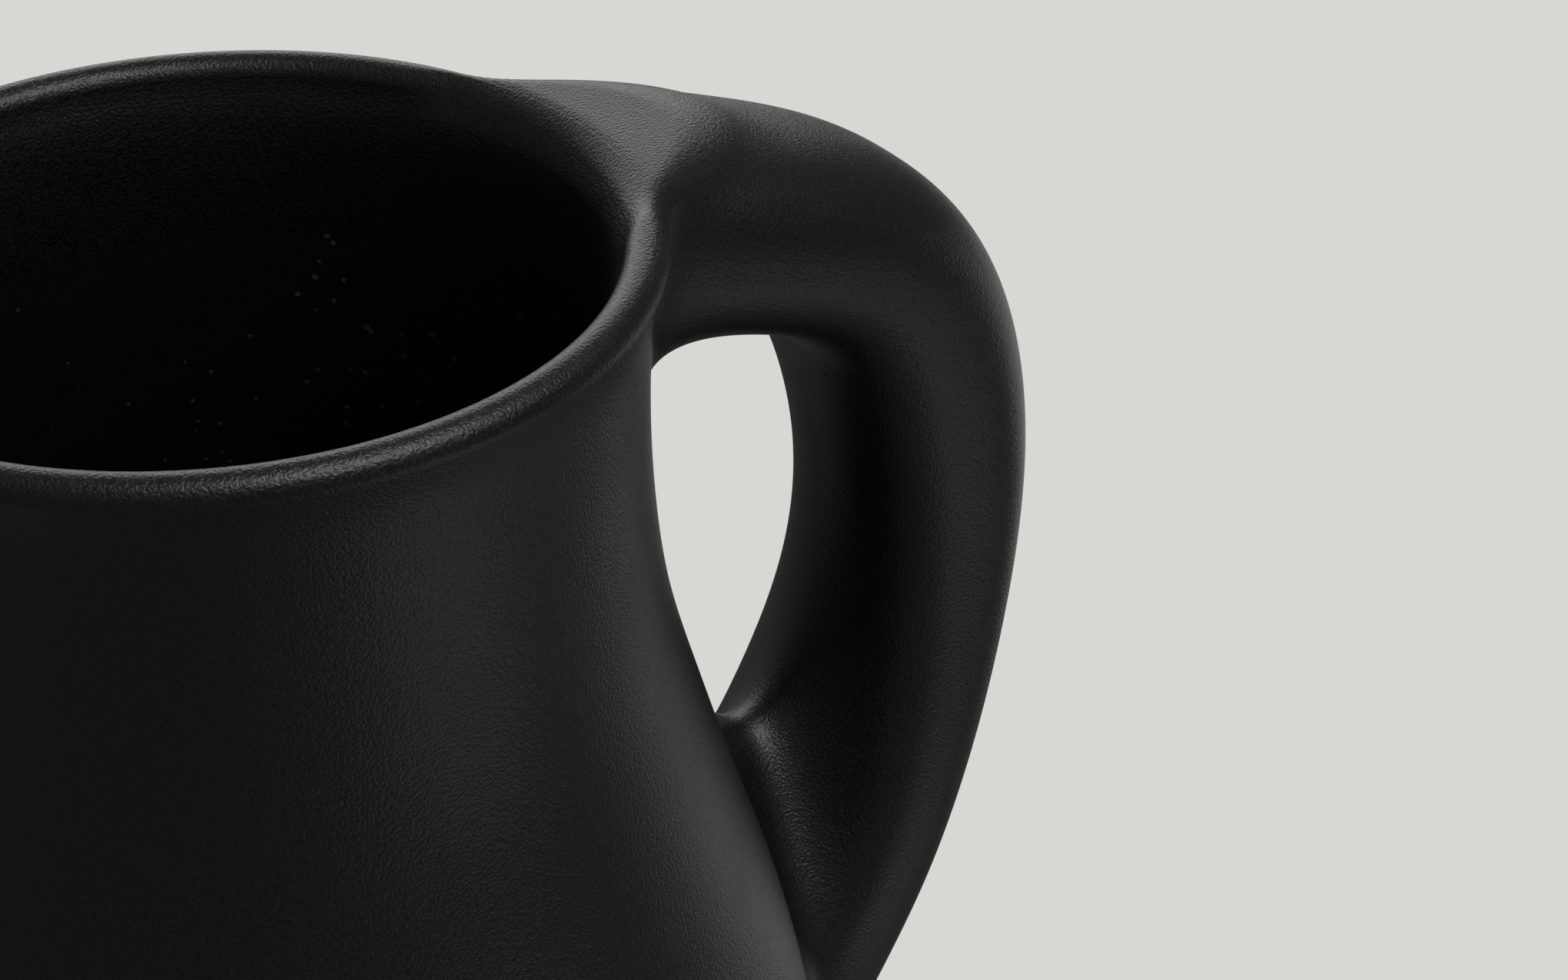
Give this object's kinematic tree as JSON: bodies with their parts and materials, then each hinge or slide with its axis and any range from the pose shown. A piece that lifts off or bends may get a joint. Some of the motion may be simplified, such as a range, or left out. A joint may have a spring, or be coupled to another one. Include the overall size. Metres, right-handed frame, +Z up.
{
  "type": "mug",
  "caption": "Pear-shaped stoneware mug with a narrow neck, a rolled lip, a thick rounded handle flush with the lip, a matt glaze and a bare foot ring.",
  "frame": {"origin": "middle of the whole mug's footprint, handle included, on the surface it stands on", "axes": "+Z up along the cup's axis, which stands at x = -15.2 mm; +X from the cup towards the handle; the X-Z plane is the mirror plane"},
  "size_m": [0.1296, 0.0992, 0.117],
  "materials": {
    "matt_glaze": "satin-matt black glaze with a fine mottled grain",
    "liner_glaze": "darker matt black glaze with tiny pale pinholes",
    "bare_clay": "unglazed dark brown stoneware, ground smooth"
  },
  "bodies": {
    "root": {"cup_body": "matt_glaze", "foot_ring": "bare_clay", "liner_glaze": "liner_glaze", "handle": "matt_glaze", "upper_handle_joint": "matt_glaze", "lower_handle_joint": "matt_glaze"}
  },
  "joints": []
}
